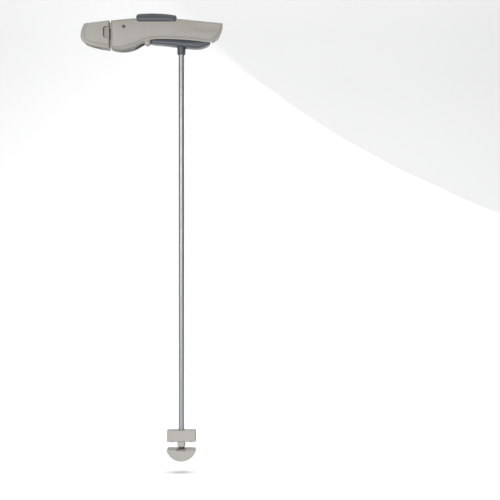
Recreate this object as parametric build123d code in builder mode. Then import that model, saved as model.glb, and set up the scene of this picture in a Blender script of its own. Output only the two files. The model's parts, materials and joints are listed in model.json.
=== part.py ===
from build123d import *
import os

# Stair gate latch. The frame-side catch sits left of the gap, the gate-side handle right of it, and a
# long lift rod joins the handle's trigger to the lock on the threshold.
# Frame: +X along the gate's rail away from the frame post, +Y away from the viewer, +Z up.
# Origin: centre of the rail's end, where it meets its stop inside the handle.

os.makedirs("parts", exist_ok=True)

# ---- the gate members that the latch fits ----
tube = 15.0  # side of the gate's square rail, upright and bottom rail
tube_fit = 0.1  # clearance per side round a tube
post_right = -57.9  # right face of the frame post
post_depth = 20.0
bottom_rail_z = -685.5
threshold_top = -710.8
threshold_depth = 20.0

# ---- handle ----
handle_left = -39.8
handle_right = 149.5
handle_half_depth = 17.0
edge_radius = 1.0
wall = 2.5
handle_screw_spots = [(-29.0, -22.0), (-8.0, -22.0), (108.0, 11.4), (139.0, 10.4)]
handle_rib_spots = [18.5, 62.0, 103.0, 134.0]
screw_seat = 9.6  # depth at which the shell screws' heads bear
indicator_x, indicator_z = -17.4, 6.6
indicator_radius = 3.0

# ---- thumb slider and tongue ----
slider_travel = 13.0
tongue_tip = -51.0
tongue_z = -2.5
tongue_height = 16.0
tongue_depth = 14.0
carriage_half_depth = 9.0
carriage_bottom, carriage_top = 8.3, 13.6
button_left, button_right = 3.0, 71.6
button_bottom = 15.0
button_inner_top = 22.2
button_half_depth = 19.4
stem_left, stem_right = 26.0, 52.0

# ---- trigger and lift rod ----
pivot_x, pivot_z = 21.5, -18.5
pivot_radius = 1.5
front_lug, rear_lug = 5.0, 3.4  # lug radii
front_lug_x, front_lug_z = 22.4, -20.4
knuckle_radius = 3.4
trigger_swing = 7.5  # degrees
rod_x = 79.0
rod_radius = 4.9
rod_bore = 3.7
running = 0.06  # radial clearance of a running fit
trigger_half_width = 12.6
trigger_wall = 3.0
ferrule_radius = 7.0
ferrule_top, ferrule_bottom = -15.5, -38.8
rod_top = -25.0
pin_radius = 2.0
pin_slot_end = 11.3  # how far from the middle plane the trigger's pin slots reach

# ---- catch ----
catch_right = -41.8
cover_front = -16.4
cover_seat = -12.7
catch_back = 14.5

# ---- lower lock ----
guide_width = 49.0
guide_height = 19.2
guide_half_depth = 10.2
boss_bottom = -704.2
keeper_top = -707.3
keeper_bottom = -727.8
foot_tip = -714.2
band_bottom, band_top = -708.2, -704.6
foot_joint = -699.0  # where the foot bolt's spigot enters the rod
rivet_z, foot_rivet_z = -33.5, -692.0

tube_half = tube / 2 + tube_fit


def front_plane(y):
    """Plane seen from the front: its x is +X, its y is +Z, and it extrudes towards -Y."""
    return Plane.XZ.offset(-y)


def block(x, y, z, mode=Mode.ADD):
    """Box between two limits on each axis, in the current part."""
    with Locations(((x[0] + x[1]) / 2, (y[0] + y[1]) / 2, (z[0] + z[1]) / 2)):
        Box(x[1] - x[0], y[1] - y[0], z[1] - z[0], mode=mode)


def rod_along_y(x, z, radius, y, mode=Mode.ADD):
    """Cylinder along Y between two limits, in the current part."""
    with Locations((x, (y[0] + y[1]) / 2, z)):
        Cylinder(radius, y[1] - y[0], rotation=(90, 0, 0), mode=mode)


def rod_along_z(x, radius, z, mode=Mode.ADD):
    """Cylinder along Z in the handle's middle plane, between two limits, in the current part."""
    with Locations((x, 0, (z[0] + z[1]) / 2)):
        Cylinder(radius, z[1] - z[0], mode=mode)


def save(builder, name):
    builder.part.label = name
    export_step(builder.part, f"parts/{name}.step")


# ---------------------------------------------------------------------------------------------
# Handle shells
# ---------------------------------------------------------------------------------------------
def handle_outline(nose_top, nose_middle, nose_foot, grip_middle):
    """Front-view outline of a half shell. Only the nose and grip differ between the two halves."""
    with BuildSketch() as outline:
        with BuildLine():
            crest = ThreePointArc((handle_left, 17.2), (15, 21.7), (72, 20.1))
            fall = Line(crest @ 1, nose_top)
            nose = ThreePointArc(fall @ 1, nose_middle, nose_foot)
            grip = ThreePointArc(nose @ 1, grip_middle, (40, -14.4))
            neck = TangentArc(grip @ 1, (10, -23.3), tangent=grip % 1)
            belly = TangentArc(neck @ 1, (handle_left, -29.4), tangent=neck % 1)
            Line(belly @ 1, crest @ 0)
        make_face()
        fillet(outline.vertices().group_by(Axis.X)[0], 2.5)
    return outline.sketch


# the rear half is cut higher along the nose and grip, so that the front half overhangs it
profiles = {
    -1: handle_outline((handle_right, 12.4), (145.2, -7.4), (128.0, -20.6), (84, -15.7)),
    1: handle_outline((handle_right - 1.4, 12.5), (142.0, -3.4), (127.5, -14.8), (84, -14.9)),
}


def between(side, inner, outer):
    """Limits along Y of something on one side of the middle plane, lower limit first."""
    return sorted((side * inner, side * outer))


def handle_ribs(side):
    """Ribs, screw bosses, rail stop and spring seat of one half shell, clear of all that moves in it."""
    inside = between(side, 0, handle_half_depth - wall)
    with BuildPart() as ribs:
        for x in handle_rib_spots:
            block((x - 1, x + 1), inside, (-40, 30))
        block((-2.2, 0), inside, (-40, 1.4))
        block((-2.2, 0), between(side, 0, 8.6), (1.4, tube_half))
        block((38, 46), inside, (-10, -tube_half))
        for x, z in handle_screw_spots:
            rod_along_y(x, z, 3.2, inside)
        with BuildSketch(front_plane(inside[1])):
            add(profiles[side])
            offset(amount=-wall / 2, mode=Mode.REPLACE)
        extrude(amount=inside[1] - inside[0], mode=Mode.INTERSECT)
        block((48, 131.5), between(side, 9.2, 14.5), (-40, 1.5), mode=Mode.SUBTRACT)
        block((48, 131.5), (-9.5, 9.5), (-40, -tube_half), mode=Mode.SUBTRACT)
        block((-40, 92), (-10.5, 10.5), (tube_half, 14.6), mode=Mode.SUBTRACT)
    return ribs.part


def handle_cavity(side):
    """Hollow inside of one half shell, one wall thickness in from the outline."""
    depth = handle_half_depth - wall
    with BuildPart() as cavity:
        with BuildSketch(front_plane(max(0, side * depth))):
            add(profiles[side])
            offset(amount=-wall, mode=Mode.REPLACE)
        extrude(amount=depth)
    return cavity.part


lugs = {
    -1: (front_lug_x, front_lug_z, front_lug, (-15.2, -6.3)),
    1: (pivot_x, pivot_z, rear_lug, (6.3, 10.8)),
}


def cut_handle_passages(side):
    """Pivot lugs, then the passages for the rail, upright, tongue, trigger and button stem."""
    x, z, radius, lug_y = lugs[side]
    rod_along_y(x, z, radius, lug_y)
    block((x - radius, x + radius), lug_y, (z, -tube_half))
    rod_along_y(pivot_x, pivot_z, pivot_radius, between(side, 0, 12.2), mode=Mode.SUBTRACT)
    block((0, 170), (-tube_half, tube_half), (-tube_half, tube_half), mode=Mode.SUBTRACT)
    block((0, 2 * tube_half), (-tube_half, tube_half), (-60, -tube_half + 1), mode=Mode.SUBTRACT)
    window_y = tongue_depth / 2 + 0.4
    window_z = tongue_height / 2 + 0.4
    block((handle_left - 1, -2.4), (-window_y, window_y), (tongue_z - window_z, tongue_z + window_z),
          mode=Mode.SUBTRACT)
    block((27.5, 131.5), (-14.5, 14.5), (-40, -10.2), mode=Mode.SUBTRACT)
    block((16.4, 28), (-6.3, 6.3), (-40, -10.2), mode=Mode.SUBTRACT)
    block((stem_left - 0.5, stem_right + slider_travel + 0.5), (-5.4, 5.4), (14.6, 30), mode=Mode.SUBTRACT)
    block((-33, -25), (-2, 2), (-40, -27), mode=Mode.SUBTRACT)


front_ribs, rear_ribs = handle_ribs(-1), handle_ribs(1)
front_cavity, rear_cavity = handle_cavity(-1), handle_cavity(1)

with BuildPart() as handle_front_shell:
    with BuildSketch(front_plane(0)):
        add(profiles[-1])
    extrude(amount=handle_half_depth)
    fillet(handle_front_shell.faces().sort_by(Axis.Y)[0].edges(), edge_radius)
    add(front_cavity, mode=Mode.SUBTRACT)
    add(front_ribs)
    cut_handle_passages(-1)
    for x, z in handle_screw_spots:
        rod_along_y(x, z, 1.5, (-9, 1), mode=Mode.SUBTRACT)
    rod_along_y(indicator_x, indicator_z, indicator_radius, (-18, -13), mode=Mode.SUBTRACT)
save(handle_front_shell, "handle_front_shell")

with BuildPart() as handle_rear_shell:
    with BuildSketch(front_plane(handle_half_depth)):
        add(profiles[1])
    extrude(amount=handle_half_depth)
    fillet(handle_rear_shell.faces().sort_by(Axis.Y)[-1].edges(), edge_radius)
    add(rear_cavity, mode=Mode.SUBTRACT)
    add(rear_ribs)
    cut_handle_passages(1)
    for x, z in handle_screw_spots:
        rod_along_y(x, z, 1.55, (-1, 18), mode=Mode.SUBTRACT)
        rod_along_y(x, z, 2.9, (screw_seat, 18), mode=Mode.SUBTRACT)
save(handle_rear_shell, "handle_rear_shell")


def pan_screw(x, z, head_y, tip_y, shank):
    """Screw along Y with its head at the rear and a cross recess."""
    rod_along_y(x, z, shank, (tip_y, head_y - 1.9))
    rod_along_y(x, z, 2.7, (head_y - 1.9, head_y))
    block((x - 1.6, x + 1.6), (head_y - 1.0, head_y + 1), (z - 0.4, z + 0.4), mode=Mode.SUBTRACT)
    block((x - 0.4, x + 0.4), (head_y - 1.0, head_y + 1), (z - 1.6, z + 1.6), mode=Mode.SUBTRACT)


with BuildPart() as handle_screws:
    for x, z in handle_screw_spots:
        pan_screw(x, z, screw_seat + 1.9, -8.5, 1.5)
save(handle_screws, "handle_screws")

with BuildPart() as indicator_lens:
    rod_along_y(indicator_x, indicator_z, indicator_radius, (-17.0, -14.8))
    rod_along_y(indicator_x, indicator_z, indicator_radius + 0.8, (-14.5, -13.4))
    rod_along_y(indicator_x, indicator_z, indicator_radius, (-14.8, -14.5))
    fillet(indicator_lens.faces().sort_by(Axis.Y)[0].edges(), 0.5)
save(indicator_lens, "indicator_lens")

# ---------------------------------------------------------------------------------------------
# Thumb slider: button, carriage, tongue, flag and return spring
# ---------------------------------------------------------------------------------------------
with BuildPart() as thumb_button:
    with BuildSketch(front_plane(button_half_depth)):
        with BuildLine():
            crown = ThreePointArc((button_left + 0.4, 28.3), (33, 29.8), (button_right - 0.4, 26.2))
            Line(crown @ 1, (button_right, 21.0))
            Line((button_right, 21.0), (button_right - 2.6, button_bottom))
            Line((button_right - 2.6, button_bottom), (button_left + 3, button_bottom))
            Line((button_left + 3, button_bottom), (button_left, 21.0))
            Line((button_left, 21.0), crown @ 0)
        make_face()
    extrude(amount=2 * button_half_depth)
    # cross-section: upright skirts below, sloping shoulders and a gently crowned top
    shoulder_y = button_half_depth - 6.4
    with BuildSketch(Plane.YZ.offset(button_left - 1)):
        with BuildLine():
            Polyline((-shoulder_y, 29.9), (-button_half_depth, 21.9), (-button_half_depth, button_bottom - 1),
                     (button_half_depth, button_bottom - 1), (button_half_depth, 21.9), (shoulder_y, 29.9))
            ThreePointArc((-shoulder_y, 29.9), (0, 31.2), (shoulder_y, 29.9))
        make_face()
    extrude(amount=button_right - button_left + 2, mode=Mode.INTERSECT)
    fillet(thumb_button.edges().filter_by(GeomType.LINE).filter_by(Axis.Y), 1.0)
    block((0, 80), (-handle_half_depth - 0.3, handle_half_depth + 0.3), (0, button_inner_top),
          mode=Mode.SUBTRACT)
    block((stem_left, stem_right), (-5, 5), (carriage_top, button_inner_top + 0.5))
    for x in (stem_left + 5, stem_right - 5):
        rod_along_z(x, 1.5, (carriage_top - 1, 21.5), mode=Mode.SUBTRACT)
save(thumb_button, "thumb_button")

with BuildPart() as bolt_carriage:
    block((-34, 75), (-carriage_half_depth, carriage_half_depth), (carriage_bottom, carriage_top))
    block((-34, -15.5), (-8, 8), (tongue_z - 7.5, carriage_bottom))
    fillet(bolt_carriage.edges().filter_by(Axis.Z).group_by(Axis.X)[-1], 3)
    for side in (-1, 1):
        block((2, 22), sorted((side * 4, side * 12)), (carriage_bottom - 1, carriage_top + 1),
              mode=Mode.SUBTRACT)
        block((56, 66), sorted((side * 4.5, side * 12)), (carriage_bottom - 1, carriage_top + 1),
              mode=Mode.SUBTRACT)
    block((-34.5, -28), (-6, 6), (tongue_z - 6, tongue_z + 6), mode=Mode.SUBTRACT)
    for x in (stem_left + 5, stem_right - 5):
        rod_along_z(x, 1.6, (carriage_bottom - 1, carriage_top + 1), mode=Mode.SUBTRACT)
        rod_along_z(x, 2.8, (carriage_bottom - 1, carriage_bottom + 2.2), mode=Mode.SUBTRACT)
save(bolt_carriage, "bolt_carriage")

with BuildPart() as button_screws:
    for x in (stem_left + 5, stem_right - 5):
        rod_along_z(x, 2.6, (carriage_bottom + 0.2, carriage_bottom + 2.2))
        rod_along_z(x, 1.5, (carriage_bottom + 2.2, 21.0))
        block((x - 1.5, x + 1.5), (-0.4, 0.4), (carriage_bottom - 1, carriage_bottom + 1.1),
              mode=Mode.SUBTRACT)
save(button_screws, "button_screws")

with BuildPart() as latch_tongue:
    block((tongue_tip, -34), (-tongue_depth / 2, tongue_depth / 2),
          (tongue_z - tongue_height / 2, tongue_z + tongue_height / 2))
    block((-34, -28), (-6, 6), (tongue_z - 6, tongue_z + 6))
    # the rear corner is a ramp, so that a swinging gate pushes the tongue back
    ramp = latch_tongue.edges().filter_by(Axis.Z).group_by(Axis.X)[0].sort_by(Axis.Y)[-1]
    chamfer(ramp, 7.5)
    fillet(latch_tongue.edges().filter_by(Axis.X).group_by(Axis.X)[0], 0.8)
    block((-44.2, -36.8), (-8, -tongue_depth / 2 + 0.8), (tongue_z - 7, tongue_z + 7),
          mode=Mode.SUBTRACT)
save(latch_tongue, "latch_tongue")

with BuildPart() as tongue_mark:
    block((-44.2, -36.8), (-tongue_depth / 2, -tongue_depth / 2 + 0.8), (tongue_z - 7, tongue_z + 7))
save(tongue_mark, "tongue_mark")

with BuildPart() as indicator_flag:
    block((indicator_x - 5, indicator_x + 4), (-10.4, -carriage_half_depth), (1.8, carriage_top))
    fillet(indicator_flag.edges().filter_by(Axis.Y), 1.0)
save(indicator_flag, "indicator_flag")


def coil(start, along, length, coil_radius, wire_radius, turns):
    """Round-wire compression spring that starts at a point and runs along a direction."""
    with BuildLine():
        wire = Helix(pitch=length / turns, height=length, radius=coil_radius, center=start,
                     direction=along)
    with BuildSketch(Plane(origin=wire @ 0, z_dir=wire % 0)) as section:
        Circle(wire_radius)
    sweep(section.sketch, path=wire, is_frenet=True)


with BuildPart() as slider_spring:
    coil((75.5, 0, 11.1), (1, 0, 0), 26.0, 2.4, 0.4, 9)
save(slider_spring, "slider_spring")

with BuildPart() as trigger_spring:
    coil((42, 0, -18.9), (0, 0, 1), 8.3, 3.4, 0.5, 4)
save(trigger_spring, "trigger_spring")

# ---------------------------------------------------------------------------------------------
# Trigger and its pivot pin
# ---------------------------------------------------------------------------------------------
with BuildSketch() as trigger_profile:
    with BuildLine():
        top = Line((28.5, -13.4), (127.5, -14.6))
        under = Spline((128.3, -18.6), (125.8, -22.6), (112.5, -28.2), (100, -28.8), (80, -26.6),
                       (55, -23.4), (33, -21.4))
        Line(top @ 1, under @ 0)
        Line(under @ 1, (28.5, -19.0))
        Line((28.5, -19.0), top @ 0)
    make_face()

with BuildPart() as trigger_lever:
    with BuildSketch(front_plane(trigger_half_width)):
        add(trigger_profile.sketch)
    extrude(amount=2 * trigger_half_width)
    lower_edges = trigger_lever.edges().filter_by(GeomType.BSPLINE)
    fillet(lower_edges, 3.0)
    with BuildSketch(front_plane(trigger_half_width - trigger_wall)):
        with BuildLine():
            Polyline((31.5, -10), (31.5, -18.4), (55, -20.4), (80, -23.5), (98, -25.5), (111, -24.7),
                     (119.0, -21.3), (124.5, -15.5), (124.5, -10), close=True)
        make_face()
    extrude(amount=2 * (trigger_half_width - trigger_wall), mode=Mode.SUBTRACT)
    # knuckle and arm that reach the pivot
    rod_along_y(pivot_x, pivot_z, knuckle_radius, (-6, 6))
    block((pivot_x, 30), (-6, 6), (-20.4, -15.2))
    rod_along_y(pivot_x, pivot_z, pivot_radius + running, (-7, 7), mode=Mode.SUBTRACT)
    # room for the ferrule, and blind slots for its cross pin
    with BuildSketch(Plane.XY.offset(-40)):
        with Locations((rod_x + 0.3, 0)):
            SlotOverall(18.0, 16.4)
    extrude(amount=25, mode=Mode.SUBTRACT)
    with BuildSketch(front_plane(pin_slot_end)):
        with Locations((rod_x + 0.25, pivot_z)):
            SlotOverall(2 * pin_radius + 1.0, 2 * pin_radius + 0.3)
    extrude(amount=2 * pin_slot_end, mode=Mode.SUBTRACT)
    # room for the gate's rail when the trigger is squeezed
    with Locations(Location((pivot_x, 0, pivot_z), (0, trigger_swing, 0))):
        with Locations((60, 0, -pivot_z)):
            Box(160, 2 * tube_half + 2.0, tube + 1.4, mode=Mode.SUBTRACT)
save(trigger_lever, "trigger_lever")

with BuildPart() as trigger_pivot_pin:
    rod_along_y(pivot_x, pivot_z, pivot_radius, (-12.0, 10.6))
    chamfer(trigger_pivot_pin.edges().filter_by(GeomType.CIRCLE), 0.4)
save(trigger_pivot_pin, "trigger_pivot_pin")

# ---------------------------------------------------------------------------------------------
# Lift rod
# ---------------------------------------------------------------------------------------------
with BuildPart() as rod_ferrule:
    rod_along_z(rod_x, ferrule_radius, (ferrule_bottom, ferrule_top))
    chamfer(rod_ferrule.edges().filter_by(GeomType.CIRCLE).group_by(Axis.Z)[0], 1.4, 1.0)
    chamfer(rod_ferrule.edges().filter_by(GeomType.CIRCLE).group_by(Axis.Z)[-1], 0.5)
    rod_along_z(rod_x, rod_radius, (ferrule_bottom - 1, rod_top), mode=Mode.SUBTRACT)
    rod_along_y(rod_x, pivot_z, pin_radius, (-10, 10), mode=Mode.SUBTRACT)
    rod_along_y(rod_x, rivet_z, 1.25, (0, 10), mode=Mode.SUBTRACT)
save(rod_ferrule, "rod_ferrule")

with BuildPart() as rod_pin:
    rod_along_y(rod_x, pivot_z, pin_radius, (0.3 - pin_slot_end, pin_slot_end - 0.3))
    chamfer(rod_pin.edges().filter_by(GeomType.CIRCLE), 0.4)
save(rod_pin, "rod_pin")

with BuildPart() as lift_rod:
    rod_along_z(rod_x, rod_radius, (foot_joint, rod_top))
    rod_along_z(rod_x, rod_bore, (foot_joint - 1, rod_top + 1), mode=Mode.SUBTRACT)
    rod_along_y(rod_x, rivet_z, 1.25, (-10, 10), mode=Mode.SUBTRACT)
    rod_along_y(rod_x, foot_rivet_z, 1.25, (-10, 10), mode=Mode.SUBTRACT)
save(lift_rod, "lift_rod")

with BuildPart() as ferrule_rivet:
    rod_along_y(rod_x, rivet_z, 1.25, (-rod_radius + 0.3, ferrule_radius - 0.4))
save(ferrule_rivet, "ferrule_rivet")

with BuildPart() as foot_bolt:
    rod_along_z(rod_x, rod_radius, (foot_tip, foot_joint))
    rod_along_z(rod_x, rod_bore, (foot_joint, foot_joint + 11))
    fillet(foot_bolt.edges().filter_by(GeomType.CIRCLE).group_by(Axis.Z)[0], 2.2)
    with BuildSketch(Plane.XY.offset(band_bottom)):
        with Locations((rod_x, 0)):
            Circle(rod_radius + 1)
            Circle(rod_radius - 0.8, mode=Mode.SUBTRACT)
    extrude(amount=band_top - band_bottom, mode=Mode.SUBTRACT)
    rod_along_y(rod_x, foot_rivet_z, 1.25, (-10, 10), mode=Mode.SUBTRACT)
save(foot_bolt, "foot_bolt")

with BuildPart() as foot_band:
    rod_along_z(rod_x, rod_radius, (band_bottom, band_top))
    rod_along_z(rod_x, rod_radius - 0.8, (band_bottom - 1, band_top + 1), mode=Mode.SUBTRACT)
save(foot_band, "foot_band")

with BuildPart() as foot_rivet:
    rod_along_y(rod_x, foot_rivet_z, 1.25, (-4.75, 4.75))
save(foot_rivet, "foot_rivet")

# ---------------------------------------------------------------------------------------------
# Guide bracket round the bottom rail
# ---------------------------------------------------------------------------------------------
guide_x = (rod_x - guide_width / 2, rod_x + guide_width / 2)
guide_z = (bottom_rail_z - guide_height / 2, bottom_rail_z + guide_height / 2)
hook_spots = (rod_x - 16, rod_x + 16)

with BuildPart() as guide_front:
    block(guide_x, (-guide_half_depth, tube_half), guide_z)
    fillet(guide_front.edges().filter_by(Axis.Z).group_by(Axis.Y)[0], 1.8)
    fillet(guide_front.faces().sort_by(Axis.Y)[0].edges().filter_by(Axis.X), 1.6)
    block((guide_x[0] - 1, guide_x[1] + 1), (-tube_half, tube_half + 1),
          (bottom_rail_z - tube_half, bottom_rail_z + tube_half), mode=Mode.SUBTRACT)
    # boss under the bracket that guides the foot bolt
    with BuildSketch(Plane.XY.offset(boss_bottom)):
        with Locations((rod_x, 0)):
            RectangleRounded(13.4, 13.0, 3.4)
    extrude(amount=guide_z[0] - boss_bottom)
    fillet(guide_front.faces().sort_by(Axis.Z)[0].edges(), 1.9)
    rod_along_z(rod_x, rod_radius + running, (boss_bottom - 1, guide_z[1] + 1), mode=Mode.SUBTRACT)
    for x in hook_spots:
        block((x - 3.2, x + 3.2), (-6.2, -3.8), (guide_z[0] - 1, bottom_rail_z - tube_half + 0.1),
              mode=Mode.SUBTRACT)
save(guide_front, "guide_front")

with BuildPart() as guide_rear:
    block(guide_x, (tube_half, guide_half_depth), guide_z)
    fillet(guide_rear.edges().filter_by(Axis.Z).group_by(Axis.Y)[-1], 1.2)
    for x in hook_spots:
        block((x - 3, x + 3), (-6, guide_half_depth), (guide_z[0] - 1.3, guide_z[0]))
        block((x - 3, x + 3), (-6, -4), (guide_z[0] - 0.1, guide_z[0] + 1.6))
save(guide_rear, "guide_rear")

# ---------------------------------------------------------------------------------------------
# Keeper on the threshold
# ---------------------------------------------------------------------------------------------
threshold_half = threshold_depth / 2 + 0.2
keeper_chord = 25.6
apron_front, apron_rear = 4.0, 2.4
ramp_top = keeper_top - 1.0

with BuildSketch() as half_moon:
    with BuildLine():
        rim = ThreePointArc((rod_x - keeper_chord, keeper_top), (rod_x, keeper_bottom),
                            (rod_x + keeper_chord, keeper_top))
        Line(rim @ 1, rim @ 0)
    make_face()
    fillet(half_moon.vertices(), 2.6)

with BuildPart() as keeper_cap:
    with BuildSketch(front_plane(threshold_half + apron_rear)):
        add(half_moon.sketch)
    extrude(amount=2 * threshold_half + apron_rear + apron_front)
    fillet(keeper_cap.faces().sort_by(Axis.Y)[0].edges(), 2.0)
    block((0, 160), (-threshold_half, threshold_half), (-740, threshold_top), mode=Mode.SUBTRACT)
    # notch for the socket's ramp, which leads a closing foot bolt to its hole
    with BuildSketch(Plane.YZ.offset(rod_x - 8.2)):
        with BuildLine():
            Polyline((-20, keeper_top - 4.4), (-20, keeper_top + 1), (2, keeper_top + 1),
                     (2, ramp_top), (-4, ramp_top), (-4, ramp_top - 0.8), (-6, ramp_top - 0.8), close=True)
        make_face()
    extrude(amount=16.4, mode=Mode.SUBTRACT)
    rod_along_z(rod_x, 7.0, (threshold_top - 1, keeper_top + 1), mode=Mode.SUBTRACT)
    for x in (rod_x - 12, rod_x + 12):
        rod_along_y(x, threshold_top - 5, 2.1, (threshold_half - 1, threshold_half + 4),
                    mode=Mode.SUBTRACT)
    # parting groove under the top plate, either side of the notch
    for x in (rod_x - 15.5, rod_x + 15.5):
        block((x - 6, x + 6), (-20, -threshold_half - 3.1), (keeper_top - 2.6, keeper_top - 1.8),
              mode=Mode.SUBTRACT)
save(keeper_cap, "keeper_cap")

with BuildPart() as keeper_socket:
    rod_along_z(rod_x, 7.0, (keeper_top - 12.5, keeper_top - 1.2))
    with BuildSketch(Plane.YZ.offset(rod_x - 8.0)):
        with BuildLine():
            Polyline((-4, ramp_top), (-4, ramp_top - 0.8), (-6, ramp_top - 0.8), (-13.4, ramp_top - 2.17),
                     (-13.4, ramp_top - 1.37), (-6, ramp_top), close=True)
        make_face()
    extrude(amount=16.0)
    rod_along_z(rod_x, 5.3, (keeper_top - 10.5, keeper_top), mode=Mode.SUBTRACT)
    rod_along_z(rod_x, 2.0, (keeper_top - 13, keeper_top - 10), mode=Mode.SUBTRACT)
save(keeper_socket, "keeper_socket")

# ---------------------------------------------------------------------------------------------
# Frame-side catch
# ---------------------------------------------------------------------------------------------
with BuildSketch() as catch_profile:
    with BuildLine():
        roof = Line((catch_right, 18.0), (-84.4, 12.8))
        side = ThreePointArc(roof @ 1, (-88.9, 3.5), (-90.9, -7.0))
        heel = TangentArc(side @ 1, (-81.0, -22.0), tangent=side % 1)
        sole = TangentArc(heel @ 1, (catch_right, -30.2), tangent=heel % 1)
        Line(sole @ 1, roof @ 0)
    make_face()
    fillet(catch_profile.vertices().group_by(Axis.X)[-1].sort_by(Axis.Y)[-1], 1.5)
    fillet(catch_profile.vertices().sort_by_distance((-84.4, 12.8))[0], 3)

catch_screw_spots = [(-70, -15), (-70, 6)]
pocket_z = (tongue_z - tongue_height / 2 - 0.5, tongue_z + tongue_height / 2 + 0.5)
pocket_y = tongue_depth / 2 + 0.5
strike_left, strike_front = -53.6, -11.2
strike_z = (-14.2, 8.6)

with BuildPart() as catch_cover:
    with BuildSketch(front_plane(-post_depth / 2 - 0.3)):
        add(catch_profile.sketch)
    extrude(amount=-post_depth / 2 - 0.3 - cover_front)
    fillet(catch_cover.faces().sort_by(Axis.Y)[0].edges(), 1.6)
    with BuildSketch(front_plane(-post_depth / 2 - 0.3)):
        add(catch_profile.sketch)
        offset(amount=-2.2, mode=Mode.REPLACE)
    extrude(amount=-post_depth / 2 - 0.3 - cover_seat, mode=Mode.SUBTRACT)
    # window beside the gap, over the strike
    with BuildSketch(front_plane(cover_seat)):
        with BuildLine():
            Polyline((-41, 7.2), (-50.5, 7.2), (-52.6, 4.2), (-52.6, -9.0), (-49.0, -12.8), (-41, -12.8),
                     close=True)
        make_face()
    extrude(amount=5, mode=Mode.SUBTRACT)
    block((strike_left, -40), (cover_seat, 0), strike_z, mode=Mode.SUBTRACT)
    for x, z in catch_screw_spots:
        rod_along_y(x, z, 1.5, (cover_seat - 1.8, cover_seat + 1), mode=Mode.SUBTRACT)
save(catch_cover, "catch_cover")

with BuildPart() as catch_body:
    with BuildSketch(front_plane(-post_depth / 2 - 0.3)):
        add(catch_profile.sketch)
        offset(amount=-2.4, mode=Mode.REPLACE)
    extrude(amount=-post_depth / 2 - 0.3 - cover_seat)
    with BuildSketch(front_plane(catch_back)):
        add(catch_profile.sketch)
        offset(amount=-0.6, mode=Mode.REPLACE)
    extrude(amount=catch_back + post_depth / 2 + 0.3)
    fillet(catch_body.faces().sort_by(Axis.Y)[-1].edges(), 1.5)
    # slot that the frame post fills, open to the left, above and below
    block((-100, post_right + 0.2), (-post_depth / 2 - 0.1, post_depth / 2 + 0.1), (-60, 60),
          mode=Mode.SUBTRACT)
    # tongue pocket, open to the gap
    block((tongue_tip - 2, -40), (-pocket_y, pocket_y), pocket_z, mode=Mode.SUBTRACT)
    block((strike_left, -40), (-20, -pocket_y), strike_z, mode=Mode.SUBTRACT)
    for x, z in catch_screw_spots:
        rod_along_y(x, z, 1.55, (-20, -9), mode=Mode.SUBTRACT)
        rod_along_y(x, z, 2.2, (9, 20), mode=Mode.SUBTRACT)
save(catch_body, "catch_body")

# wear strip that lines the front of the pocket and shows through the cover's window
with BuildPart() as catch_strike:
    block((strike_left, catch_right - 0.3), (strike_front, -pocket_y), strike_z)
    chamfer(catch_strike.edges().filter_by(Axis.Z).group_by(Axis.X)[-1], 0.8)
save(catch_strike, "catch_strike")

with BuildPart() as catch_screws:
    for x, z in catch_screw_spots:
        rod_along_y(x, z, 1.5, (cover_seat - 1.7, -post_depth / 2 - 0.1))
save(catch_screws, "catch_screws")
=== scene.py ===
import json
import math
import bmesh
import bpy
from mathutils import Matrix, Vector


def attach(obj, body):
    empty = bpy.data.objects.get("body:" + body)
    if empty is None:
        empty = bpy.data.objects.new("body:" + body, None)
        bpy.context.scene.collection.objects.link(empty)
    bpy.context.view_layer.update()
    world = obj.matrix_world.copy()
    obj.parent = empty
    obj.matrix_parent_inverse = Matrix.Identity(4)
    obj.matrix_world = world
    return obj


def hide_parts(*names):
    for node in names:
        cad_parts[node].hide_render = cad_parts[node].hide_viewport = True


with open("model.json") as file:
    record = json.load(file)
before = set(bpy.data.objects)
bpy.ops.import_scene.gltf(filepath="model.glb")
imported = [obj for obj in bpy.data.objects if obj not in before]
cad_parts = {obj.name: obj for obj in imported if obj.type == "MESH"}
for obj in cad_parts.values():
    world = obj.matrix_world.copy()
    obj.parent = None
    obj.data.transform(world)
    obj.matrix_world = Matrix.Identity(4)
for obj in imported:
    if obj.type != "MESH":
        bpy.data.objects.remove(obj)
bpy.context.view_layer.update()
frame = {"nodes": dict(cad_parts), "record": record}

MM = 0.001

# The gate's middle, seen level from two metres in front of it. These are metres.
VIEW_CENTRE = Vector((0.1955, 0.0, -0.3703))
VIEW_DISTANCE = 2.0
VIEW_WIDTH = 0.85
FLOOR_Z = -0.749


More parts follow.
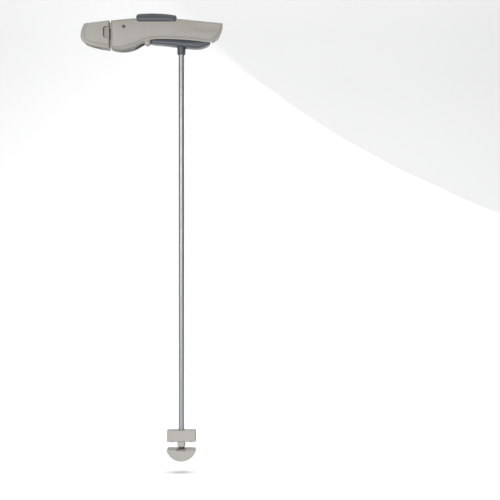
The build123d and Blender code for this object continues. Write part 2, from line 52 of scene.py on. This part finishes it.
# ---------------------------------------------------------------------------------------------
# Material helpers
# ---------------------------------------------------------------------------------------------
class Shader:
    """A material under construction, with short calls for the nodes it needs."""

    def __init__(self, name, roughness, metallic=0.0, specular=0.5, coat=0.0, coat_roughness=0.1):
        self.material = bpy.data.materials.new(name)
        self.material.use_nodes = True
        self.tree = self.material.node_tree
        self.surface = self.tree.nodes["Principled BSDF"]
        self.surface.inputs["Roughness"].default_value = roughness
        self.surface.inputs["Metallic"].default_value = metallic
        self.surface.inputs["Specular IOR Level"].default_value = specular
        self.surface.inputs["Coat Weight"].default_value = coat
        self.surface.inputs["Coat Roughness"].default_value = coat_roughness
        self.place = self.node("ShaderNodeTexCoord").outputs["Object"]

    def node(self, kind, **settings):
        made = self.tree.nodes.new(kind)
        for key, value in settings.items():
            setattr(made, key, value)
        return made

    def link(self, source, target):
        self.tree.links.new(source, target)

    def stretched(self, scale):
        """Object coordinates scaled by axis, for brushed or streaky patterns."""
        mapping = self.node("ShaderNodeMapping")
        mapping.inputs["Scale"].default_value = scale
        self.link(self.place, mapping.inputs["Vector"])
        return mapping.outputs["Vector"]

    def noise(self, scale, detail=3.0, rough=0.5, place=None):
        made = self.node("ShaderNodeTexNoise")
        made.inputs["Scale"].default_value = scale
        made.inputs["Detail"].default_value = detail
        made.inputs["Roughness"].default_value = rough
        self.link(place or self.place, made.inputs["Vector"])
        return made.outputs["Fac"]

    def spread(self, value, low, high, to_low=0.0, to_high=1.0):
        """Remaps a value, clamped to its new range."""
        made = self.node("ShaderNodeMapRange")
        made.inputs["From Min"].default_value = low
        made.inputs["From Max"].default_value = high
        made.inputs["To Min"].default_value = to_low
        made.inputs["To Max"].default_value = to_high
        self.link(value, made.inputs["Value"])
        return made.outputs["Result"]

    def blend(self, factor, first, second):
        """Colour between two colours or colour outputs."""
        made = self.node("ShaderNodeMix", data_type="RGBA")
        for socket, colour in ((made.inputs["A"], first), (made.inputs["B"], second)):
            if isinstance(colour, tuple):
                socket.default_value = (*colour, 1.0)
            else:
                self.link(colour, socket)
        self.link(factor, made.inputs["Factor"])
        return made.outputs["Result"]

    def worn_edge(self, width):
        """One near a convex or concave edge, nought on the flat, from a rounded normal."""
        bevel = self.node("ShaderNodeBevel", samples=6)
        bevel.inputs["Radius"].default_value = width
        geometry = self.node("ShaderNodeNewGeometry")
        dot = self.node("ShaderNodeVectorMath", operation="DOT_PRODUCT")
        self.link(bevel.outputs["Normal"], dot.inputs[0])
        self.link(geometry.outputs["Normal"], dot.inputs[1])
        return self.spread(dot.outputs["Value"], 0.995, 0.85)

    def finish(self, colour, rough_by=None, bumps=(), edge=0.0003):
        """Joins colour, roughness and a stack of (height, depth) bumps over softly rounded edges."""
        self.link(colour, self.surface.inputs["Base Color"])
        if rough_by:
            self.link(rough_by, self.surface.inputs["Roughness"])
        bevel = self.node("ShaderNodeBevel", samples=6)
        bevel.inputs["Radius"].default_value = edge
        normal = bevel.outputs["Normal"]
        for height, depth in bumps:
            bump = self.node("ShaderNodeBump")
            bump.inputs["Distance"].default_value = depth
            self.link(height, bump.inputs["Height"])
            self.link(normal, bump.inputs["Normal"])
            normal = bump.outputs["Normal"]
        self.link(normal, self.surface.inputs["Normal"])
        return self.material


def moulded_plastic(name, tone, deep, worn, roughness=0.46, grain=0.00004):
    """Satin injection-moulded plastic: faint flow clouding, spark-eroded grain, rubbed edges."""
    make = Shader(name, roughness, specular=0.42)
    clouds = make.spread(make.noise(26.0, 4.0, 0.6), 0.35, 0.65)
    specks = make.spread(make.noise(900.0, 2.0), 0.62, 0.78, 0.0, 0.5)
    colour = make.blend(clouds, deep, tone)
    colour = make.blend(specks, colour, deep)
    edge = make.worn_edge(0.0009)
    patchy = make.node("ShaderNodeMath", operation="MULTIPLY")
    make.link(edge, patchy.inputs[0])
    make.link(make.spread(make.noise(140.0, 3.0), 0.4, 0.62, 0.1, 0.85), patchy.inputs[1])
    colour = make.blend(patchy.outputs["Value"], colour, worn)
    rough = make.spread(make.noise(60.0, 4.0, 0.6), 0.3, 0.7, roughness - 0.05, roughness + 0.07)
    bumps = [(make.noise(34.0, 2.0), 0.00012), (make.noise(1900.0, 2.0, 0.6), grain)]
    return make.finish(colour, rough, bumps, edge=0.0004)


def powder_coat(name, tone, deep):
    """Silver powder coat: orange peel and fine metal flake."""
    make = Shader(name, 0.36, metallic=0.55, specular=0.5, coat=0.25, coat_roughness=0.25)
    flakes = make.spread(make.noise(3800.0, 1.0), 0.5, 0.7)
    colour = make.blend(flakes, deep, tone)
    rough = make.spread(make.noise(45.0, 3.0), 0.3, 0.7, 0.32, 0.44)
    return make.finish(colour, rough, [(make.noise(750.0, 2.0), 0.00005)])


def plated_steel(name, tone, deep):
    """Bright metal with fine turning marks."""
    make = Shader(name, 0.32, metallic=1.0)
    streaks = make.noise(1.0, 3.0, 0.6, make.stretched((40.0, 2200.0, 2200.0)))
    colour = make.blend(make.spread(streaks, 0.35, 0.65), deep, tone)
    rough = make.spread(streaks, 0.3, 0.7, 0.24, 0.42)
    return make.finish(colour, rough, [(streaks, 0.00002)], edge=0.00015)


def glossy_mark(name, tone, deep, roughness):
    """Pigmented red plastic or lens with faint depth."""
    make = Shader(name, roughness, specular=0.5, coat=0.5, coat_roughness=0.06)
    colour = make.blend(make.spread(make.noise(420.0, 3.0), 0.35, 0.65), deep, tone)
    rough = make.spread(make.noise(90.0, 3.0), 0.3, 0.7, roughness * 0.8, roughness * 1.3)
    return make.finish(colour, rough, [(make.noise(600.0, 2.0), 0.00002)], edge=0.0002)


BEIGE = moulded_plastic("beige_plastic", (0.405, 0.385, 0.350), (0.385, 0.364, 0.330), (0.50, 0.48, 0.445))
PALE = moulded_plastic("pale_plastic", (0.545, 0.525, 0.482), (0.515, 0.495, 0.452), (0.66, 0.64, 0.60))
SLATE = moulded_plastic("slate_plastic", (0.088, 0.097, 0.110), (0.077, 0.086, 0.098), (0.15, 0.16, 0.175),
                        roughness=0.42)
NYLON = moulded_plastic("grey_nylon", (0.24, 0.24, 0.235), (0.20, 0.20, 0.196), (0.32, 0.32, 0.31))
# Acetal's tone is darker than its own colour: painted shade for the recess in the catch's front, where the
# strike shows. Every acetal piece but the keeper's socket shares it.
SHADE_DARKENED_ACETAL = moulded_plastic("acetal", (0.290, 0.258, 0.232), (0.265, 0.235, 0.21), (0.38, 0.35, 0.32),
                         roughness=0.34, grain=0.00001)
LINER = moulded_plastic("socket_liner", (0.520, 0.478, 0.440), (0.490, 0.450, 0.414), (0.60, 0.56, 0.52),
                        roughness=0.40, grain=0.00001)
# The red mark's tone is partly its own dark red and partly painted shade, darkened for the shaded gap between
# the guide boss and the keeper where the red band sits.
RED_MARK_AND_SHADE = glossy_mark("red_mark", (0.085, 0.024, 0.022), (0.055, 0.015, 0.014), 0.35)
LENS = glossy_mark("red_lens", (0.085, 0.014, 0.014), (0.03, 0.006, 0.007), 0.24)
SILVER = powder_coat("silver_coat", (0.37, 0.383, 0.392), (0.28, 0.292, 0.30))
ZINC = plated_steel("zinc_steel", (0.62, 0.63, 0.64), (0.45, 0.46, 0.47))
WIRE = plated_steel("spring_wire", (0.50, 0.50, 0.51), (0.33, 0.33, 0.34))

FINISHES = {
    "beige_abs": BEIGE,
    "pale_abs": PALE,
    "slate_abs": SLATE,
    "grey_nylon": NYLON,
    "acetal": SHADE_DARKENED_ACETAL,
    "red_mark": RED_MARK_AND_SHADE,
    "red_lens": LENS,
    "silver_paint": SILVER,
    "zinc_steel": ZINC,
    "spring_steel": WIRE,
}


def dress(obj, material):
    """Gives every slot of an object one material."""
    if not obj.material_slots:
        obj.data.materials.append(material)
    for place in obj.material_slots:
        place.material = material


slot_of = {part["node"]: part["material_slot"] for part in frame["record"]["subparts"]}
# The other acetal pieces have a tone darkened with painted shade; the keeper's socket is paler, so it has a
# liner finish of its own.
for node_name, node in frame["nodes"].items():
    dress(node, LINER if node_name == "keeper_socket" else FINISHES[slot_of[node_name]])


# ---------------------------------------------------------------------------------------------
# Plane curves, in millimetres, seen from the front: x to the right, z up
# ---------------------------------------------------------------------------------------------
def round_centre(centre, start, end, left_turn, count=40):
    """Points of the circular arc from start to end about a centre."""
    first = math.atan2(start[1] - centre[1], start[0] - centre[0])
    last = math.atan2(end[1] - centre[1], end[0] - centre[0])
    if left_turn and last < first:
        last += math.tau
    if not left_turn and last > first:
        last -= math.tau
    radius = math.dist(centre, start)
    turns = [first + (last - first) * step / count for step in range(count + 1)]
    return [(centre[0] + radius * math.cos(turn), centre[1] + radius * math.sin(turn)) for turn in turns]


def arc_leaving(start, heading, end):
    """Arc that leaves a point along a heading and ends at another point."""
    normal = (-heading[1], heading[0])
    chord = (end[0] - start[0], end[1] - start[1])
    across = chord[0] * normal[0] + chord[1] * normal[1]
    radius = (chord[0] ** 2 + chord[1] ** 2) / (2.0 * across)
    centre = (start[0] + radius * normal[0], start[1] + radius * normal[1])
    return round_centre(centre, start, end, radius > 0)


def arc_through(start, middle, end):
    """Arc from one point to another through a third."""
    ax, az = start
    bx, bz = middle[0] - ax, middle[1] - az
    cx, cz = end[0] - ax, end[1] - az
    twice = 2.0 * (bx * cz - bz * cx)
    b2, c2 = bx * bx + bz * bz, cx * cx + cz * cz
    centre = (ax + (cz * b2 - bz * c2) / twice, az + (bx * c2 - cx * b2) / twice)
    return round_centre(centre, start, end, twice > 0)


def heading_at_end(path):
    """Unit direction of a path's last step."""
    (ax, az), (bx, bz) = path[-2], path[-1]
    length = math.hypot(bx - ax, bz - az)
    return ((bx - ax) / length, (bz - az) / length)


def resampled(path, count):
    """The same path in a number of equal steps."""
    lengths = [0.0]
    for before, after in zip(path, path[1:]):
        lengths.append(lengths[-1] + math.dist(before, after))
    points, spot = [], 0
    for step in range(count + 1):
        reach = lengths[-1] * step / count
        while spot < len(path) - 2 and lengths[spot + 1] < reach:
            spot += 1
        share = (reach - lengths[spot]) / (lengths[spot + 1] - lengths[spot])
        points.append(tuple(a + (b - a) * share for a, b in zip(path[spot], path[spot + 1])))
    return points


def softened(corners, radii, steps):
    """An open path with its inner corners rounded."""
    path = [corners[0]]
    for before, corner, after, radius in zip(corners, corners[1:], corners[2:], radii):
        ends = []
        for other in (before, after):
            reach = min(radius, 0.49 * math.dist(corner, other)) / math.dist(corner, other)
            ends.append(tuple(c + (o - c) * reach for c, o in zip(corner, other)))
        for step in range(steps + 1):
            t = step / steps
            path.append(tuple((1 - t) ** 2 * a + 2 * t * (1 - t) * c + t * t * b
                              for a, c, b in zip(ends[0], corner, ends[1])))
    path.append(corners[-1])
    return path


def along(stops, x):
    """Value at x of a smooth run through (x, value) stops."""
    for (ax, av), (bx, bv) in zip(stops, stops[1:]):
        if x <= bx:
            t = max(0.0, (x - ax) / (bx - ax))
            return av + (bv - av) * t * t * (3 - 2 * t)
    return stops[-1][1]


def curve_at(stops, x):
    """Value at x of a curve through (x, value) stops, with matched slopes."""
    spot = max(i for i in range(len(stops) - 1) if stops[i][0] <= x or i == 0)
    (ax, av), (bx, bv) = stops[spot], stops[spot + 1]
    before, after = stops[max(spot - 1, 0)], stops[min(spot + 2, len(stops) - 1)]
    span = bx - ax
    slope_a = (bv - before[1]) / (bx - before[0]) * span
    slope_b = (after[1] - av) / (after[0] - ax) * span
    t = min(max((x - ax) / span, 0.0), 1.0)
    return ((2 * t ** 3 - 3 * t * t + 1) * av + (t ** 3 - 2 * t * t + t) * slope_a
            + (3 * t * t - 2 * t ** 3) * bv + (t ** 3 - t * t) * slope_b)


# ---------------------------------------------------------------------------------------------
# Solid forms that the CAD pieces are trimmed to, in millimetres
# ---------------------------------------------------------------------------------------------
COLUMNS, ROWS = 150, 28  # points along an outline's long and short sides
CORNER_REACH = 40  # points on each side of a corner that an inset may fold
FORM_MERGE = 1e-4  # distance at which a form's points join
CAD_MERGE = 2e-3  # distance at which a CAD mesh's points join
SKIN = 0.12  # how far inside the CAD surface the handle's forms run
SMOOTH_ANGLE = math.radians(32.0)


def solid(name, points, faces):
    """Closed mesh object with its faces turned outwards."""
    mesh = bpy.data.meshes.new(name)
    mesh.from_pydata(points, [], faces)
    shape = bmesh.new()
    shape.from_mesh(mesh)
    bmesh.ops.remove_doubles(shape, verts=shape.verts, dist=FORM_MERGE)
    bmesh.ops.recalc_face_normals(shape, faces=shape.faces)
    shape.to_mesh(mesh)
    shape.free()
    made = bpy.data.objects.new(name, mesh)
    bpy.context.collection.objects.link(made)
    return made


def ring_faces(rings, size):
    """Quads between rings of points that follow each other in one list."""
    faces = []
    for ring in range(rings - 1):
        for spot in range(size):
            after = (spot + 1) % size
            faces.append((ring * size + spot, ring * size + after,
                          (ring + 1) * size + after, (ring + 1) * size + spot))
    return faces


def loft(name, rings):
    """Closed solid through a row of rings, flat at both ends."""
    size = len(rings[0])
    points = [point for ring in rings for point in ring]
    faces = ring_faces(len(rings), size)
    faces.append(tuple(range(size)))
    faces.append(tuple(range(len(points) - size, len(points))))
    return solid(name, points, faces)


def inward_normal(before, after):
    """Unit normal on the inner side of an anticlockwise step."""
    length = math.dist(before, after)
    return ((before[1] - after[1]) / length, (after[0] - before[0]) / length)


class Outline:
    """A front-view outline of four sides: bottom, right, top and left, anticlockwise."""

    def __init__(self, bottom, right, top, left):
        self.loop = []
        for side, count in ((bottom, COLUMNS), (right, ROWS), (top, COLUMNS), (left, ROWS)):
            self.loop += resampled(side, count)[:-1]
        after = self.loop[1:] + self.loop[:1]
        self.inward = [inward_normal(self.loop[spot - 1], after[spot]) for spot in range(len(self.loop))]
        self.corners = []
        for corner in (0, COLUMNS, COLUMNS + ROWS, 2 * COLUMNS + ROWS):
            coming = inward_normal(self.loop[corner - 1], self.loop[corner])
            going = inward_normal(self.loop[corner], after[corner])
            cosine = min(1.0, coming[0] * going[0] + coming[1] * going[1])
            mitre = [(first + second) / (1 + cosine) for first, second in zip(coming, going)]
            self.corners.append((corner, mitre, math.sqrt((1 - cosine) / (1 + cosine))))

    def inset(self, amounts):
        """The loop moved inwards by one amount, or by an amount for each point, with mitred corners."""
        if isinstance(amounts, float):
            amounts = [amounts] * len(self.loop)
        moved = [(x + nx * amount, z + nz * amount)
                 for (x, z), (nx, nz), amount in zip(self.loop, self.inward, amounts)]
        for corner, mitre, reach in self.corners:
            tip = self.loop[corner]
            meeting = tuple(place + part * amounts[corner] for place, part in zip(tip, mitre))
            for spot in range(corner - CORNER_REACH, corner + CORNER_REACH + 1):
                near = spot % len(self.loop)
                if math.dist(self.loop[near], tip) <= amounts[near] * reach + 1e-6:
                    moved[near] = meeting
        return moved


def faced_form(name, rings, height):
    """Closed solid through rings of (loop, depth or depths), its last loop filled by a patch of height()."""
    size = len(rings[0][0])
    points = []
    for loop, depths in rings:
        if isinstance(depths, float):
            depths = [depths] * size
        points += [(x, y, z) for (x, z), y in zip(loop, depths)]
    faces = ring_faces(len(rings), size) + [tuple(range(size))]
    last = rings[-1][0]
    ring_start = len(points) - size
    corner_a, corner_b, corner_c = COLUMNS, COLUMNS + ROWS, 2 * COLUMNS + ROWS
    spots = {}
    for column in range(COLUMNS + 1):
        spots[column, 0] = ring_start + column
        spots[column, ROWS] = ring_start + corner_b + (COLUMNS - column)
    for row in range(1, ROWS):
        spots[COLUMNS, row] = ring_start + corner_a + row
        spots[0, row] = ring_start + corner_c + (ROWS - row)
    low_left, low_right, top_right, top_left = last[0], last[corner_a], last[corner_b], last[corner_c]
    for column in range(1, COLUMNS):
        u = column / COLUMNS
        low, top = last[column], last[corner_b + COLUMNS - column]
        for row in range(1, ROWS):
            v = row / ROWS
            right, left = last[corner_a + row], last[corner_c + ROWS - row]
            x, z = ((1 - v) * low[axis] + v * top[axis] + (1 - u) * left[axis] + u * right[axis]
                    - (1 - u) * (1 - v) * low_left[axis] - u * (1 - v) * low_right[axis]
                    - u * v * top_right[axis] - (1 - u) * v * top_left[axis] for axis in (0, 1))
            spots[column, row] = len(points)
            points.append((x, height(u, v, x, z), z))
    for column in range(COLUMNS):
        for row in range(ROWS):
            faces.append((spots[column, row], spots[column + 1, row],
                          spots[column + 1, row + 1], spots[column, row + 1]))
    return solid(name, points, faces)


def combined(obj, operation, other):
    """Applies one boolean with another object, which is used up."""
    cut = obj.modifiers.new("form", "BOOLEAN")
    cut.operation = operation
    cut.solver = "EXACT"
    cut.object = other
    bpy.context.view_layer.update()
    result = bpy.data.meshes.new_from_object(obj.evaluated_get(bpy.context.evaluated_depsgraph_get()))
    obj.modifiers.clear()
    obj.data = result
    bpy.data.objects.remove(other)


def trimmed(node_name, form):
    """Puts a copy of a CAD piece, cut to a finer outer form, in that piece's place."""
    source = frame["nodes"][node_name]
    mesh = source.data.copy()
    mesh.transform(Matrix.Scale(1 / MM, 4) @ source.matrix_world)
    shape = bmesh.new()
    shape.from_mesh(mesh)
    bmesh.ops.remove_doubles(shape, verts=shape.verts, dist=CAD_MERGE)
    shape.to_mesh(mesh)
    shape.free()
    piece = bpy.data.objects.new(node_name + "_shaped", mesh)
    bpy.context.collection.objects.link(piece)
    combined(piece, "INTERSECT", form)
    result = piece.data
    if not result.polygons:
        raise RuntimeError(node_name + " is empty after its form was cut")
    result.transform(Matrix.Scale(MM, 4))
    result.materials.clear()
    result.polygons.foreach_set("use_smooth", [True] * len(result.polygons))
    result.set_sharp_from_angle(angle=SMOOTH_ANGLE)
    dress(piece, FINISHES[slot_of[node_name]])
    body = next(name for name, nodes in frame["record"]["behaviour"]["bodies"].items() if node_name in nodes)
    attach(piece, body)
    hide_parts(node_name)


# ---------------------------------------------------------------------------------------------
# Handle shells
# ---------------------------------------------------------------------------------------------
HANDLE_LEFT = -39.8
GRIP_END = (40.0, -14.4)
NECK_END = (10.0, -23.3)
BELLY_END = (HANDLE_LEFT, -29.4)
LUG_X, LUG_Z, LUG_RADIUS = 22.4, -20.4, 5.0
RIM_Y = -15.65  # depth of the front shell's rim, just outside its parting groove
REAR_Y = 16.2  # depth of the rear shell's rim


def handle_outline(nose_top, nose_middle, nose_foot, grip_middle):
    """One shell's outline: a long crest, a nose on the right, a grip, and a belly on the left."""
    crest = arc_through((HANDLE_LEFT, 17.2), (15.0, 21.7), (72.0, 20.1))
    nose = arc_through(nose_top, nose_middle, nose_foot)
    grip = arc_through(nose_foot, grip_middle, GRIP_END)
    neck = arc_leaving(GRIP_END, heading_at_end(grip), NECK_END)
    belly = arc_leaving(NECK_END, heading_at_end(neck), BELLY_END)
    under = (grip + neck[1:] + belly[1:])[::-1]
    return Outline(under, nose[::-1], [nose_top] + crest[::-1], [crest[0], BELLY_END])


def crowned(u, v, rise):
    """Gentle bulge over a patch, nought all round its border."""
    return rise * (1 - abs(2 * v - 1) ** 2.2) * (1 - abs(2 * u - 1) ** 14)


def rim_width(spot, x):
    """Width of the front shell's rolled rim at one point of its outline, widest under the belly."""
    crest_width = 1.3
    if spot < COLUMNS:
        return along([(-38.4, 2.2), (-20.0, 4.4), (-3.0, 6.0), (10.0, 4.6), (26.0, 3.4), (96.0, 3.6),
                      (128.0, 3.4)], x)
    if spot < COLUMNS + ROWS:
        return along([(0.0, 3.4), (0.7, 2.6), (1.0, crest_width)], (spot - COLUMNS) / ROWS)
    if spot < 2 * COLUMNS + ROWS:
        return crest_width
    return along([(0.0, crest_width), (0.2, 1.6), (0.8, 1.8), (1.0, 2.2)], (spot - 2 * COLUMNS - ROWS) / ROWS)


def front_shell_form():
    """Rolled rim that widens under the belly, a parting groove, and a crowned face with a soft dish."""
    outline = handle_outline((149.5, 12.4), (145.2, -7.4), (128.0, -20.6), (84.0, -15.7))
    band = [rim_width(spot, x) for spot, (x, z) in enumerate(outline.loop)]
    depths = [along([(-38.4, 2.4), (8.0, 3.6), (24.0, 0.55), (140.0, 0.5)], x) for x, z in outline.loop]
    rings = [(outline.inset(SKIN), [2.0] * len(depths))]
    for step in range(7):
        turn = math.radians(15.0 * step)
        loop = outline.inset([SKIN + (width - SKIN) * (1 - math.cos(turn)) for width in band])
        rings.append((loop, [RIM_Y + depth * (1 - math.sin(turn)) for depth in depths]))
    for extra, sunk in ((0.2, 0.75), (0.95, 0.8), (1.3, 0.05)):
        rings.append((outline.inset([width + extra for width in band]), [RIM_Y + sunk] * len(depths)))

    def height(u, v, x, z):
        dish_x, dish_z, dish_depth = 121.0, 5.0, 1.15
        reach = math.hypot((x - dish_x) / 27.0, (z - dish_z) / 9.5)
        dish = dish_depth * max(0.0, 1 - reach ** 3) ** 2
        return RIM_Y + 0.05 - crowned(u, v, 1.3) + dish

    form = faced_form("front_shell_form", rings, height)
    combined(form, "UNION", lug_form())
    return form


def lug_form():
    """Rounded lug under the neck, where the trigger hinges."""
    root_z = -9.0
    rings = []
    for y, shrink in ((-15.1, 1.2), (-14.9, 0.7), (-14.5, 0.3), (-13.9, 0.08), (-13.0, 0.05), (-4.0, 0.05)):
        radius = LUG_RADIUS - shrink
        arc = [(LUG_X + radius * math.cos(turn), LUG_Z + radius * math.sin(turn))
               for turn in (math.radians(180.0 + 7.5 * step) for step in range(25))]
        rings.append([(x, y, z) for x, z in [(LUG_X - radius, root_z)] + arc + [(LUG_X + radius, root_z)]])
    return loft("lug_form", rings)


def rear_shell_form():
    """Plainer back: a wide rolled rim round a crowned face."""
    outline = handle_outline((148.1, 12.5), (142.0, -3.4), (127.5, -14.8), (84.0, -14.9))
    roll_width, roll_depth = 2.0, 3.0
    rings = [(outline.inset(SKIN), -2.0)]
    for step in range(9):
        turn = math.radians(11.25 * step)
        loop = outline.inset(SKIN + roll_width * (1 - math.cos(turn)))
        rings.append((loop, REAR_Y - roll_depth * (1 - math.sin(turn))))
    return faced_form("rear_shell_form", rings, lambda u, v, x, z: REAR_Y + crowned(u, v, 0.7))


trimmed("handle_front_shell", front_shell_form())
trimmed("handle_rear_shell", rear_shell_form())


# ---------------------------------------------------------------------------------------------
# Catch
# ---------------------------------------------------------------------------------------------
CATCH_TOP_RIGHT = (-41.8, 18.0)
CATCH_SHOULDER = (-84.4, 12.8)
CATCH_SIDE = (-90.9, -7.0)
CATCH_HEEL = (-81.0, -22.0)
CATCH_TOE = (-41.8, -30.2)
PLATEAU_ANCHOR = (-43.4, 12.0)
PLATEAU_SCALE = 0.85
PLATEAU_Y = -15.9


def catch_outline():
    """A straight top, a round left side and a sole that falls to the right."""
    left = arc_through(CATCH_SHOULDER, (-88.9, 3.5), CATCH_SIDE)
    heel = arc_leaving(CATCH_SIDE, heading_at_end(left), CATCH_HEEL)
    sole = arc_leaving(CATCH_HEEL, heading_at_end(heel), CATCH_TOE)
    return Outline(sole, [sole[-1], CATCH_TOP_RIGHT], [CATCH_TOP_RIGHT, CATCH_SHOULDER], left + heel[1:])


def catch_cover_form():
    """A raised plateau inside a sloping margin that widens to the left and below."""
    outline = catch_outline()
    edge = outline.inset(1.2)
    plateau = [tuple(fixed + (place - fixed) * PLATEAU_SCALE for place, fixed in zip(point, PLATEAU_ANCHOR))
               for point in edge]

    def mixed(share):
        """A loop part of the way from the edge to the plateau."""
        return [(ax + (bx - ax) * share, az + (bz - az) * share)
                for (ax, az), (bx, bz) in zip(edge, plateau)]

    rings = [(outline.inset(0.1), -9.0), (outline.inset(0.1), -12.6), (outline.inset(0.35), -13.2),
             (outline.inset(0.8), -13.55), (edge, -13.7)]
    rings += [(mixed(share), y) for share, y in
              ((0.3, -13.95), (0.6, -14.5), (0.82, -15.2), (0.93, -15.6), (1.0, -15.8), (1.06, PLATEAU_Y))]
    return faced_form("catch_cover_form", rings, lambda u, v, x, z: PLATEAU_Y - crowned(u, v, 0.35))


trimmed("catch_cover", catch_cover_form())


# ---------------------------------------------------------------------------------------------
# Thumb button and trigger
# ---------------------------------------------------------------------------------------------
def end_drop(distance, radius):
    """How far a rounded end falls back, at a distance in from its tip."""
    if distance >= radius:
        return 0.0
    return radius - math.sqrt(radius ** 2 - (radius - distance) ** 2)


def stations(left, right, steps):
    """Places along a bar, closer together near its ends."""
    return [left + (right - left) * (1 - math.cos(math.pi * step / steps)) / 2 for step in range(steps + 1)]


def mirrored_ring(x, half):
    """Closed ring at x from its front half of (y, z) points."""
    return [(x, y, z) for y, z in half] + [(x, -y, z) for y, z in reversed(half)]


def thumb_button_form():
    """Saddle with upright skirts, a soft ridge, sloping shoulders and a crowned top."""
    left, right = 3.1, 71.5
    top = arc_through((2.4, 28.2), (33.0, 29.7), (72.2, 26.1))
    rings = []
    for x in stations(left, right, 56):
        tip = min(x - left, right - x) + 0.12
        width = 19.3 - end_drop(tip, 5.5)
        crown = curve_at(resampled(top, 8), x) - end_drop(tip, 3.0)
        ridge = min(21.6, crown - 2.0)
        half = softened([(-width + 0.25, 13.0), (-width, ridge), (-width + 6.6, crown), (0.0, crown + 0.9)],
                        [1.6, 3.6], 6)
        rings.append(mirrored_ring(x, half[:-1] + [(-0.4, crown + 0.9)]))
    return loft("thumb_button_form", rings)


def trigger_form():
    """Squeeze bar with a flat front that broadens to the right over a rounded underside."""
    belly = [(26.0, -20.9), (33.0, -21.35), (55.0, -23.35), (80.0, -26.5), (100.0, -28.65), (112.5, -28.1),
             (120.0, -25.6), (125.8, -22.4), (128.6, -18.2)]
    high = -8.0
    rings = []
    for x in stations(14.0, 128.1, 80):
        tip = 128.2 - x
        width = 12.5 - end_drop(tip, 6.0)
        low = curve_at(belly, max(x, 26.0)) + 0.08 if x > 30.0 else -23.0
        roll = along([(14.0, 3.0), (34.0, 3.4), (80.0, 5.2), (104.0, 6.6), (128.0, 4.0)], x)
        half = softened([(-width, high), (-width, low + 0.35), (-width + 5.5, low), (-0.4, low)],
                        [roll, 4.5], 7)
        rings.append(mirrored_ring(x, half))
    return loft("trigger_form", rings)


trimmed("thumb_button", thumb_button_form())
trimmed("trigger_lever", trigger_form())


# ---------------------------------------------------------------------------------------------
# Stage: pale floor, soft light and the camera
# ---------------------------------------------------------------------------------------------
def floor():
    """Pale floor that curves up into a back wall, so that no horizon shows."""
    bend_y, bend_radius = 0.9, 1.1
    profile = [(-4.0, FLOOR_Z), (bend_y, FLOOR_Z)]
    profile += [(bend_y + bend_radius * math.sin(turn), FLOOR_Z + bend_radius * (1 - math.cos(turn)))
                for turn in (math.radians(6.0 * step) for step in range(1, 16))]
    profile.append((bend_y + bend_radius, 3.2))
    half_width = 4.5
    corners = [(x, y, z) for y, z in profile for x in (-half_width, half_width)]
    quads = [(2 * spot, 2 * spot + 1, 2 * spot + 3, 2 * spot + 2) for spot in range(len(profile) - 1)]
    mesh = bpy.data.meshes.new("floor")
    mesh.from_pydata(corners, [], quads)
    mesh.polygons.foreach_set("use_smooth", [True] * len(quads))
    sweep = bpy.data.objects.new("floor", mesh)
    bpy.context.collection.objects.link(sweep)
    sweep.visible_diffuse = False  # keeps its bounce off the object's darker undersides
    make = Shader("floor_paint", 0.8, specular=0.2)
    colour = make.blend(make.noise(3.0), (0.88, 0.88, 0.875), (0.90, 0.90, 0.895))
    dress(sweep, make.finish(colour, None, [(make.noise(60.0), 0.0002)]))
    return sweep


def area_light(name, place, aim, size, power):
    """Rectangular light turned towards a point."""
    light = bpy.data.lights.new(name, "AREA")
    light.shape = "RECTANGLE"
    light.size, light.size_y = size
    light.energy = power
    lamp = bpy.data.objects.new(name, light)
    lamp.location = place
    lamp.rotation_euler = (Vector(aim) - Vector(place)).to_track_quat("-Z", "Y").to_euler()
    bpy.context.collection.objects.link(lamp)
    return lamp


def surroundings():
    """White to the eye, dark grey to the object, so that round bars keep their darker edges."""
    world = bpy.data.worlds.new("studio")
    bpy.context.scene.world = world
    world.use_nodes = True
    nodes, links = world.node_tree.nodes, world.node_tree.links
    path = nodes.new("ShaderNodeLightPath")
    mix = nodes.new("ShaderNodeMixShader")
    seen = nodes.new("ShaderNodeBackground")
    seen.inputs["Color"].default_value = (1.0, 1.0, 1.0, 1.0)
    shining = nodes["Background"]
    shining.inputs["Color"].default_value = (0.92, 0.96, 1.0, 1.0)
    shining.inputs["Strength"].default_value = 0.15
    links.new(path.outputs["Is Camera Ray"], mix.inputs["Fac"])
    links.new(shining.outputs["Background"], mix.inputs[1])
    links.new(seen.outputs["Background"], mix.inputs[2])
    links.new(mix.outputs["Shader"], nodes["World Output"].inputs["Surface"])


def lights(sweep):
    """Soft light on the object from the front, above and behind, and one light for the stage alone."""
    middle = (0.05, 0.0, -0.35)
    area_light("key", (-0.9, -2.7, 0.0), middle, (1.1, 0.7), 56.0)
    area_light("fill", (1.1, -2.6, -0.2), middle, (0.9, 1.0), 13.0)
    area_light("top", (0.15, 0.3, 1.3), (0.15, 0.0, -0.4), (1.3, 0.7), 4.0)
    area_light("back", (0.8, 1.7, 0.3), middle, (1.2, 1.0), 16.0).visible_camera = False
    stage_light = area_light("stage_light", (0.3, -0.6, 2.8), (0.3, 1.0, FLOOR_Z), (4.0, 2.4), 125.0)
    stage_only = bpy.data.collections.new("stage_only")
    stage_only.objects.link(sweep)
    stage_light.light_linking.receiver_collection = stage_only


def camera():
    """Level camera in front of the gate's middle."""
    lens = bpy.data.cameras.new("camera")
    lens.sensor_width = 36.0
    lens.lens = lens.sensor_width * VIEW_DISTANCE / VIEW_WIDTH
    lens.clip_start = 0.05
    eye = bpy.data.objects.new("camera", lens)
    eye.location = VIEW_CENTRE - Vector((0.0, VIEW_DISTANCE, 0.0))
    eye.rotation_euler = (math.radians(90.0), 0.0, 0.0)
    bpy.context.collection.objects.link(eye)
    bpy.context.scene.camera = eye


surroundings()
lights(floor())
camera()
bpy.context.scene.view_settings.view_transform = "Standard"
